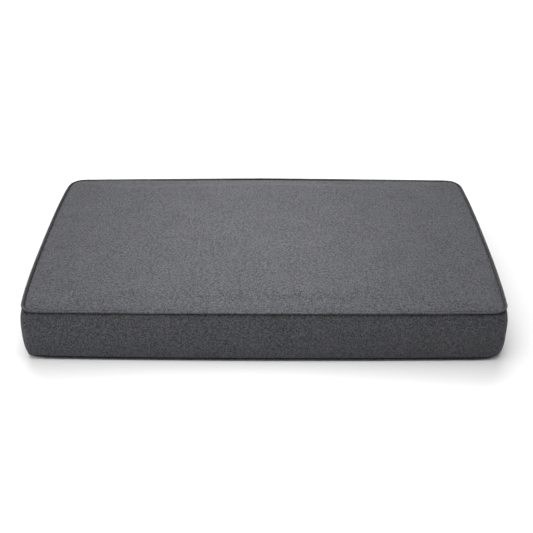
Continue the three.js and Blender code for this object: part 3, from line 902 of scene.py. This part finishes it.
for side, surface, up, radius, stand in (
    ("top", TOP, 1, PIPING_R, PIPING_OUT),
    ("bottom", BOTTOM, -1, 1.0 * MM, -0.9 * MM),
):
    edge = surface[LOOP_ROWS, LOOP_COLUMNS]
    away = np.hypot(SEAM_HALF_X - np.abs(edge[:, 0]), SEAM_HALF_Y - np.abs(edge[:, 1] - MID_Y))
    edge += (stand - PIPING_OUT) * edge_directions(edge)
    front_rise = 0.15 * MM + 0.65 * MM * np.clip(-LOOP_Q, 0, 1) ** 2
    under_band = -1.7 * MM * (1 - 0.9 * bell(away, 13 * MM))
    edge[:, 2] += front_rise if up > 0 else under_band
    sleeve = piping(f"{side}_piping_cloth", edge, radius, up)
    add_piece(sleeve, "cover", "piping_cloth", PIPING_CLOTH, f"{side}_piping_sleeve")
    ring = cord_ring(f"{side}_piping_twist", edge, radius * 0.5)
    add_piece(ring, "cover", "piping_cord", CORD, f"{side}_piping_cord")


# ---- fillings -------------------------------------------------------------------------------

INNER_REAR_Y = REAR_Y - 2.3 * MM                    # the fillings stay in front of the zip slider
WADDING = 3.4 * MM


def inset_panel(surface, up, inset, depth):
    """The inner neighbour of a panel: smaller by inset all round and deeper by depth."""
    shrink = 1 - inset / np.array([SEAM_HALF_X, SEAM_HALF_Y, np.inf])
    middle = np.array([0, MID_Y, 0])
    moved = (surface - middle) * shrink + middle - (0, 0, up * depth)
    moved[..., 1] = np.minimum(moved[..., 1], INNER_REAR_Y)
    return moved


def inset_band(inset, depth=0.0):
    out = edge_directions(BOXING[len(LEVELS) // 2])
    moved = BOXING - inset * out[None]
    moved[..., 2] = MID_Z + (moved[..., 2] - MID_Z) * (1 - depth / (MID_Z - BOTTOM_SEAM_Z))
    moved[..., 1] = np.minimum(moved[..., 1], INNER_REAR_Y)
    return moved


def wadding(name, surface, up):
    """A sheet of wadding over one face of the foam, turned down to the middle of its sides."""
    rows, columns = surface.shape[:2]
    face = inset_panel(surface, up, 4.6 * MM, 1.5 * MM)
    band = inset_band(1.6 * MM)
    covered = 0.9                                   # share of the way up or down to the seam
    levels = [k for k in range(len(LEVELS)) if 0 <= up * LEVELS[k] < covered]
    levels.sort(key=lambda k: up * LEVELS[k])
    rings = [band[k] for k in levels]
    rings[0] = rings[0] + (0, 0, up * 0.15 * MM)
    vertices = np.concatenate([face.reshape(-1, 3)] + rings)
    faces = grid_faces(rows, columns)
    loops = [rows * columns + k * len(LOOP) + np.arange(len(LOOP)) for k in range(len(rings))]
    loops.append(LOOP_ROWS * columns + LOOP_COLUMNS)
    faces += ring_faces(loops)
    piece = mesh_object(name, vertices, faces if up > 0 else flipped(faces))
    thicken(piece, WADDING, levels=0)
    return piece


def foam_block():
    """The foam: a closed block, softened by the wadding's pull at its edges."""
    inset, depth, band_inset = 9.5 * MM, 5.3 * MM, 6.2 * MM
    top = inset_panel(TOP, 1, inset, depth)
    bottom = inset_panel(BOTTOM, -1, inset, depth)
    block, _ = build_shell(top, bottom, inset_band(band_inset, band_inset))
    block.name = "foam_block"
    return block


wadding_cloth = polyester_wadding("wadding")
for half, surface, up in (("upper", TOP, 1), ("lower", BOTTOM, -1)):
    sheet = wadding(f"wadding_{half}_fleece", surface, up)
    add_piece(sheet, "cover", "wadding", wadding_cloth, f"wadding_{half}")
add_piece(foam_block(), "cover", "foam", open_foam("foam"), "foam_core")


# ---- zip, label and stitching at the rear ---------------------------------------------------

REAR_COLUMN_IDS = [i for i in range(len(LOOP)) if LOOP_Q[i] > 0.999][::-1]
TAPE_OUT = 0.75 * MM                                # middle of the tape, out from the rear seam
COIL_PITCH = 1.27 * MM
WIRE_R = 0.3 * MM
COIL_REACH = (-0.2 * MM, 2.9 * MM)                  # coil heads pass the centre line to mesh
COIL_HALF_DEPTH = 1.0 * MM
PLATE = 1.0 * MM                                    # the slider's plates
SLIDER_HALF = 6 * MM                                # half the slider's length
SLIDER_BACK, SLIDER_FACE = -1.55 * MM, 3.05 * MM    # slider, out from the rear seam
STITCH, STITCH_GAP, THREAD_R = 2.9 * MM, 0.7 * MM, 0.24 * MM
STITCH_RINGS, STITCH_AROUND = 6, 5


def at_rear(points):
    """Points given as (along the zip, out from the rear seam, up from the zip's centre line)."""
    return np.asarray(points) + (0, REAR_Y, MID_Z)


def rear_surface(x, z):
    """How far back the rear boxing's outside is, at the places (x, z)."""
    x, z = np.broadcast_arrays(np.asarray(x, float), np.asarray(z, float))
    patch = BOXING[:, REAR_COLUMN_IDS]
    back = np.array([np.interp(x.ravel(), row[:, 0], row[:, 1]) for row in patch])
    height = np.array([np.interp(x.ravel(), row[:, 0], row[:, 2]) for row in patch])
    found = [np.interp(value, height[:, i], back[:, i]) for i, value in enumerate(z.ravel())]
    return np.array(found).reshape(x.shape)


def join(name, parts):
    """One piece out of several mesh objects."""
    mesh = bmesh.new()
    for part in parts:
        mesh.from_mesh(part.data)
        bpy.data.objects.remove(part)
    joined = mesh_object(name, [], [])
    mesh.to_mesh(joined.data)
    mesh.free()
    return joined


def tube(name, centres, section, sides, ups):
    """A closed tube with capped ends along a run of centres."""
    rows = sweep(np.asarray(centres), sides, ups, section)
    return mesh_object(name, rows.reshape(-1, 3), tube_faces(len(rows), len(section)))


def flat_part(name, outlines, out_low, out_high, bevel):
    """A flat part with rounded edges, from outlines (along, up) of its rim and its windows."""
    curve = bpy.data.curves.new(name, "CURVE")
    curve.dimensions = "2D"
    curve.fill_mode = "BOTH"
    curve.bevel_depth = bevel
    curve.bevel_resolution = 2
    curve.offset = -bevel
    curve.extrude = (out_high - out_low) / 2 - bevel
    for outline_points in outlines:
        spline = curve.splines.new("POLY")
        spline.points.add(len(outline_points) - 1)
        for point, (x, up) in zip(spline.points, outline_points):
            point.co = (x, up, 0, 1)
        spline.use_cyclic_u = True
    shape = bpy.data.objects.new(name, curve)
    bpy.context.scene.collection.objects.link(shape)
    depsgraph = bpy.context.evaluated_depsgraph_get()
    mesh = bpy.data.meshes.new_from_object(shape.evaluated_get(depsgraph))
    bpy.data.objects.remove(shape)
    built = bmesh.new()
    built.from_mesh(mesh)
    bmesh.ops.remove_doubles(built, verts=built.verts, dist=0.002 * MM)
    bmesh.ops.recalc_face_normals(built, faces=built.faces)
    for vertex in built.verts:
        x, up, out = vertex.co
        vertex.co = (x, REAR_Y + (out_low + out_high) / 2 - out, MID_Z + up)
    made = bpy.data.meshes.new(name)
    built.to_mesh(made)
    built.free()
    piece = bpy.data.objects.new(name, made)
    bpy.context.scene.collection.objects.link(piece)
    smooth_by_angle(piece, 35)
    return piece


def smooth_by_angle(piece, degrees):
    mesh = piece.data
    mesh.polygons.foreach_set("use_smooth", [True] * len(mesh.polygons))
    mesh.set_sharp_from_angle(angle=math.radians(degrees))


def mirrored(stations):
    """A closed outline from stations (along, half width), given from one end to the other."""
    upper = [(x, h) for x, h in stations]
    lower = [(x, -h) for x, h in reversed(stations) if h > 0]
    return upper + lower


def rounded_ends(x_low, x_high, half_width, ease=0.55, steps=28):
    """Stations of a rounded bar; half_width is a function of the place along it."""
    middle, half = (x_low + x_high) / 2, (x_high - x_low) / 2
    stations = []
    for i in range(steps + 1):
        a = math.pi * (1 - i / steps)
        x = middle + half * squared_off(math.cos(a), ease)
        stations.append((x, half_width(x) * abs(math.sin(a)) ** ease))
    return stations


def zip_tape(side):
    """A woven tape whose inner edge runs into the coil, with a raised cord line beside it."""
    x = np.linspace(ZIP_HALF, -ZIP_HALF, 165)
    up = np.array([2.0, 2.6, 3.1, 3.5, 3.9, 4.4, 6.0, 8.5, 11.0, 13.4, 14.2]) * MM
    cord_line = 3.5 * MM
    ridge = 0.28 * MM * bell(up - cord_line, 0.45 * MM)
    wave = 0.12 * MM * np.sin(x / (9 * MM)) + 0.08 * MM * np.sin(x / (3.7 * MM) + side)
    free = np.clip((up - 5 * MM) / (9 * MM), 0, 1)
    rows = []
    for k in range(len(up)) if side > 0 else reversed(range(len(up))):
        out = TAPE_OUT + 0.3 * MM + ridge[k] - free[k] * np.abs(wave)
        rows.append(np.stack([x, out, np.full(len(x), side * up[k])], -1))
    points = at_rear(np.array(rows))
    name = "zip_tape_upper_weave" if side > 0 else "zip_tape_lower_weave"
    piece = mesh_object(name, points.reshape(-1, 3), grid_faces(*points.shape[:2]))
    thicken(piece, 0.6 * MM, levels=0)
    return piece


def zip_coil(side):
    """Nylon wire wound into teeth, whose heads mesh with the other row's."""
    steps, half = 10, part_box("zip_coil_upper")[1].x - WIRE_R
    turns = int(2 * half / COIL_PITCH)
    angle = 2 * math.pi * np.arange(turns * steps + 1) / steps
    shift = 0 if side > 0 else COIL_PITCH / 2
    fitted = (2 * half - COIL_PITCH) / (turns * COIL_PITCH)
    x = -half + COIL_PITCH * angle / (2 * math.pi) * fitted + shift
    low, high = COIL_REACH
    up = (low + high) / 2 - ((high - low) / 2 - WIRE_R) * np.cos(angle)
    out = TAPE_OUT + (COIL_HALF_DEPTH - WIRE_R) * np.sin(angle)
    centres = at_rear(np.stack([x, out, side * up], -1))
    along = unit(np.gradient(centres, axis=0))
    sides = unit(np.cross(along, (1.0, 0, 0)))
    ups = np.cross(along, sides)
    name = "zip_coil_upper_teeth" if side > 0 else "zip_coil_lower_teeth"
    return tube(name, centres, circle(WIRE_R, 6), sides, ups)


def crimp(name, x_low, x_high, up_low, up_high):
    """A metal stop bent round the coils: a jacket with two pressed grooves."""
    count, around = 17, 24
    share = np.linspace(-1, 1, count)
    end_round = 1 - 0.28 * np.abs(share) ** 8
    grooves = 0.1 * (bell(share - 0.33, 0.13) + bell(share + 0.33, 0.13))
    half_up, middle_up = (up_high - up_low) / 2, (up_low + up_high) / 2
    half_out, middle_out = 1.2 * MM, TAPE_OUT
    rows = []
    for x, size in zip(np.linspace(x_low, x_high, count), end_round - grooves):
        for c, s in circle(1, around):
            out = middle_out + half_out * size * squared_off(s, 0.5)
            up = middle_up + half_up * (0.3 + 0.7 * size) * squared_off(c, 0.5)
            rows.append((x, out, up))
    faces = flipped(tube_faces(count, around))
    piece = mesh_object(name, at_rear(rows), faces)
    smooth_by_angle(piece, 50)
    return piece


def eased(share):
    """Rises smoothly from 0 to 1 as share does, and stays level outside that."""
    share = min(max(share, 0), 1)
    return share * share * (3 - 2 * share)


def slider_half_width(x):
    return (3.5 + 1.1 * eased((x - SLIDER_X + SLIDER_HALF) / (9 * MM))) * MM


def zip_slider():
    """Two plates, lips that hold the rows together, the wedge between them and the bail."""
    x_low, x_high = SLIDER_X - SLIDER_HALF, SLIDER_X + SLIDER_HALF
    plan = mirrored(rounded_ends(x_low, x_high, slider_half_width))
    parts = [
        flat_part("face_plate", [plan], SLIDER_FACE - PLATE, SLIDER_FACE, 0.3 * MM),
        flat_part("back_plate", [plan], SLIDER_BACK, SLIDER_BACK + PLATE, 0.3 * MM),
    ]
    lip = 0.8 * MM
    for side in (-1, 1):
        run = np.linspace(x_low + 0.9 * MM, x_high - 3.2 * MM, 14)
        rim = [(x, side * (slider_half_width(x) - 0.05 * MM)) for x in run]
        inner = [(x, side * (slider_half_width(x) - 1.0 * MM)) for x in run[::-1]]
        strip = rim + inner if side < 0 else (rim + inner)[::-1]
        for low, high in (
            (SLIDER_FACE - PLATE - lip, SLIDER_FACE - 0.5 * PLATE),
            (SLIDER_BACK + 0.5 * PLATE, SLIDER_BACK + PLATE + lip),
        ):
            parts.append(flat_part("lip", [strip], low, high, 0.2 * MM))

    def wedge_half_width(x):
        return 0.3 * MM + 0.25 * (x - SLIDER_X)

    wedge = mirrored(rounded_ends(SLIDER_X + 0.6 * MM, SLIDER_X + 5.4 * MM, wedge_half_width, 0.7))
    low, high = SLIDER_BACK + 0.5 * PLATE, SLIDER_FACE - 0.5 * PLATE
    parts.append(flat_part("wedge", [wedge], low, high, 0.1 * MM))
    parts.append(bail())
    return join("zip_slider_body", parts)


def bail():
    """The arched bridge on the face plate that the tab hangs on."""
    half_span, foot, top = 3.2 * MM, SLIDER_FACE - 0.5 * PLATE, 5.15 * MM
    angle = np.linspace(0, math.pi, 25)
    x = SLIDER_X + half_span * np.sign(np.cos(angle)) * np.abs(np.cos(angle)) ** 0.6
    out = foot + (top - foot) * np.sin(angle) ** 0.6
    centres = at_rear(np.stack([x, out, np.zeros(len(x))], -1))
    ups = np.tile(UP, (len(x), 1))
    sides = np.cross(unit(np.gradient(centres, axis=0)), ups)
    section = [(0.4 * MM * squared_off(c, 0.6), 0.8 * MM * squared_off(s, 0.6)) for c, s in circle(1, 16)]
    piece = tube("bail", centres, section, sides, ups)
    smooth_by_angle(piece, 50)
    return piece


def pull_tab():
    """A flat tab with a raised rim: its end bar turns under the bail, which fills its window."""
    hinge_x, hinge_out = SLIDER_X, HINGE_Y - REAR_Y
    length, thickness = 26 * MM, 1.0 * MM

    def half_width(x):
        return (2.15 + 0.6 * eased((hinge_x - x) / (9 * MM))) * MM

    plan = mirrored(rounded_ends(hinge_x - length, hinge_x + 0.5 * MM, half_width, 0.45, 36))
    window_half = 1.3 * MM
    window = mirrored(rounded_ends(hinge_x - 4.6 * MM, hinge_x - 0.5 * MM, lambda x: window_half, 0.4, 20))
    low, high = hinge_out - thickness / 2, hinge_out + thickness / 2

    def recess_half_width(x):
        return half_width(x) - 1.05 * MM

    def web_half_width(x):
        return half_width(x) - 1.15 * MM

    recess = mirrored(rounded_ends(hinge_x - length + 1.1 * MM, hinge_x - 7 * MM, recess_half_width, 0.5, 30))
    rim = flat_part("rim", [plan, window, recess], low, high, 0.14 * MM)
    stations = rounded_ends(hinge_x - length + 0.9 * MM, hinge_x - 6.8 * MM, web_half_width, 0.5, 30)
    web_plan = mirrored([(x, h + 0.3 * MM if h else 0) for x, h in stations])
    web = flat_part("web", [web_plan], low + 0.28 * MM, high - 0.28 * MM, 0.02 * MM)
    return join("zip_pull_tab_plate", [rim, web])


def care_label():
    """A small blank satin label, caught in the end seam of the zip opening."""
    left, length, low, width = -204.7 * MM, 24 * MM, 6.9 * MM, 9.6 * MM
    along, across = np.linspace(1, 0, 33), np.linspace(0, 1, 13)
    s, t = np.meshgrid(along, across)
    x = left + length * s
    z = MID_Z + low + width * t + 0.15 * MM * np.sin(9 * s)
    lift = 0.55 * MM * s**3 + 0.12 * MM * np.sin(7 * s + 2 * t) * s + 0.35 * MM * s * (2 * t - 1) ** 2
    y = rear_surface(x, z) + 0.3 * MM + lift
    piece = mesh_object("care_label_satin", np.stack([x, y, z], -1).reshape(-1, 3), grid_faces(*s.shape))
    thicken(piece, 0.25 * MM, levels=0)
    return piece


def stitch(start, end, lift):
    """One stitch: a short thread that dips into the cloth at both ends."""
    start, end = np.asarray(start), np.asarray(end)
    share = np.linspace(0, 1, STITCH_RINGS)
    bulge = np.sin(math.pi * share) ** 0.5
    centres = start + (end - start) * share[:, None] + lift * (bulge[:, None] - 0.6)
    out = unit(lift)
    side = np.cross(unit(end - start), out)
    rows = []
    for centre, size in zip(centres, 0.55 + 0.45 * bulge):
        rows += [centre + size * (c * out + s * side) for c, s in circle(THREAD_R, STITCH_AROUND)]
    return rows


def stitching():
    """Lockstitch rows along the zip opening, beside its end seams, and a bar tack at each end."""
    runs = []
    step = STITCH + STITCH_GAP
    row_out, column_out, tack_out = 2.2 * MM, 2.4 * MM, 1.5 * MM    # from the opening's edges
    column_half, column_gap = 19 * MM, 7 * MM
    tack_half_height, tack_half_width, tack_pitch = 5.6 * MM, 1.3 * MM, 0.5 * MM
    for side in (-1, 1):
        z = MID_Z + side * (ZIP_WINDOW + row_out)
        starts = np.arange(-ZIP_HALF + 1.5 * MM, ZIP_HALF - STITCH, step)
        runs += [((x, z), (x + STITCH, z)) for x in starts]
        column = side * (ZIP_HALF + column_out)
        for up in MID_Z + np.arange(-column_half, column_half - STITCH, step):
            if abs(up - MID_Z + STITCH / 2) > column_gap:
                runs.append(((column, up), (column, up + STITCH)))
        left, right = side * (ZIP_HALF + tack_out) + np.array([-1, 1]) * tack_half_width
        for up in MID_Z + np.arange(-tack_half_height, tack_half_height + 0.1 * MM, tack_pitch):
            runs.append(((left, up), (right, up + tack_pitch / 2)))
    vertices, faces = [], []
    lift = np.array([0, 0.3 * MM, 0])
    for (x0, z0), (x1, z1) in runs:
        jitter = rng.normal(0, 0.06 * MM, 2)
        start = (x0, float(rear_surface(x0, z0)), z0 + jitter[0])
        end = (x1, float(rear_surface(x1, z1)), z1 + jitter[1])
        first = len(vertices)
        vertices += stitch(start, end, lift)
        faces += [tuple(first + i for i in face) for face in tube_faces(STITCH_RINGS, STITCH_AROUND)]
    return mesh_object("rear_stitching", vertices, faces)


TAPE_CLOTH = twill_tape("zip_tape", (0.012, 0.0125, 0.014), (0.045, 0.046, 0.05))
COIL_NYLON = coil_nylon("zip_coil")
ZIP_METAL = zip_metal("zip_metal")


def add_stop(node):
    low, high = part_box(node)
    stop = crimp(f"{node}_crimp", low.x, high.x, low.z - MID_Z, high.z - MID_Z)
    add_piece(stop, "cover", "zip_metal", ZIP_METAL, node)


for side, half in ((1, "upper"), (-1, "lower")):
    add_piece(zip_tape(side), "cover", "zip_tape", TAPE_CLOTH, f"zip_tape_{half}")
    add_piece(zip_coil(side), "cover", "zip_coil", COIL_NYLON, f"zip_coil_{half}")
    add_stop(f"zip_top_stop_{half}")
add_stop("zip_bottom_stop")
add_piece(zip_slider(), "slider", "zip_metal", ZIP_METAL, "zip_slider")
add_piece(pull_tab(), "pull_tab", "zip_metal", ZIP_METAL, "zip_pull_tab")
add_piece(care_label(), "cover", "label_cloth", satin_label("label_satin"), "care_label")
add_piece(stitching(), "cover", "cover_cloth", sewing_thread("sewing_thread"))


# ---- stage, light and camera ----------------------------------------------------------------

def plain_material(name, colour, roughness=1.0):
    return Nodes(name).set(Base_Color=(*colour, 1), Roughness=roughness, Specular_IOR_Level=0.0)


def make_floor():
    size = 12.0
    corners = [(-size, -size, 0), (size, -size, 0), (size, size, 0), (-size, size, 0)]
    floor = mesh_object("floor", corners, [(0, 1, 2, 3)], smooth=False)
    floor.data.materials.append(plain_material("floor_paper", (0.72, 0.72, 0.72)))


def make_world():
    """White to the eye, but only a weak fill as a light."""
    world = bpy.data.worlds.new("studio")
    bpy.context.scene.world = world
    world.use_nodes = True
    tree = world.node_tree
    fill = tree.nodes["Background"]
    fill.inputs["Color"].default_value = (0.93, 0.96, 1.0, 1)
    fill.inputs["Strength"].default_value = 0.02
    seen = tree.nodes.new("ShaderNodeBackground")
    seen.inputs["Color"].default_value = (1, 1, 1, 1)
    path = tree.nodes.new("ShaderNodeLightPath")
    mix = tree.nodes.new("ShaderNodeMixShader")
    tree.links.new(path.outputs["Is Camera Ray"], mix.inputs["Fac"])
    tree.links.new(fill.outputs[0], mix.inputs[1])
    tree.links.new(seen.outputs[0], mix.inputs[2])
    tree.links.new(mix.outputs[0], tree.nodes["World Output"].inputs["Surface"])


def make_sun(name, tilt_back, tilt_side, angle, strength):
    """A far light from overhead, tilted towards the rear and the left, angle degrees wide."""
    data = bpy.data.lights.new(name, "SUN")
    data.energy = strength
    data.angle = math.radians(angle)
    light = bpy.data.objects.new(name, data)
    light.rotation_euler = (math.radians(-tilt_back), math.radians(-tilt_side), 0)
    bpy.context.scene.collection.objects.link(light)


def make_lamp(name, place, size, power, target=None):
    """A soft lamp near the pad, so that its light falls off along it; it hangs level without a target."""
    data = bpy.data.lights.new(name, "AREA")
    data.shape = "RECTANGLE"
    data.size, data.size_y = size
    data.energy = power
    light = bpy.data.objects.new(name, data)
    light.location = place
    if target:
        light.rotation_euler = (Vector(target) - Vector(place)).to_track_quat("-Z", "Y").to_euler()
    light.visible_camera = False
    bpy.context.scene.collection.objects.link(light)


def make_camera():
    data = bpy.data.cameras.new("camera")
    data.lens = 64.5
    data.sensor_width = 36
    camera = bpy.data.objects.new("camera", data)
    turn = math.radians(0.3)                        # seen from slightly right of square on
    tilt_down = math.radians(31.4)
    distance, across, height = SEAM_HALF_Y + 0.747, 0.0023, 0.5626
    camera.location = (
        across * math.cos(turn) + distance * math.sin(turn),
        MID_Y - distance * math.cos(turn) + across * math.sin(turn),
        height,
    )
    camera.rotation_euler = (math.radians(90) - tilt_down, 0, turn)
    bpy.context.scene.collection.objects.link(camera)
    bpy.context.scene.camera = camera


make_floor()
make_world()
make_sun("rear_softbox", tilt_back=48, tilt_side=6, angle=50, strength=2.6)
make_sun("overhead_softbox", tilt_back=0, tilt_side=6, angle=60, strength=1.6)
make_sun("front_softbox", tilt_back=-35, tilt_side=12, angle=60, strength=1.22)
make_lamp("overhead_strip", place=(-0.015, 0.01, 0.31), size=(0.1, 0.5), power=1.4)
make_lamp(
    "left_front_panel",
    place=(-0.45, -0.75, 0.32),
    size=(0.5, 0.5),
    power=1.7,
    target=(-0.05, MID_Y, 0),
)
make_sun("left_softbox", tilt_back=0, tilt_side=75, angle=50, strength=0.35)
make_sun("right_softbox", tilt_back=0, tilt_side=-75, angle=50, strength=0.25)
make_camera()
bpy.context.scene.view_settings.view_transform = "Standard"
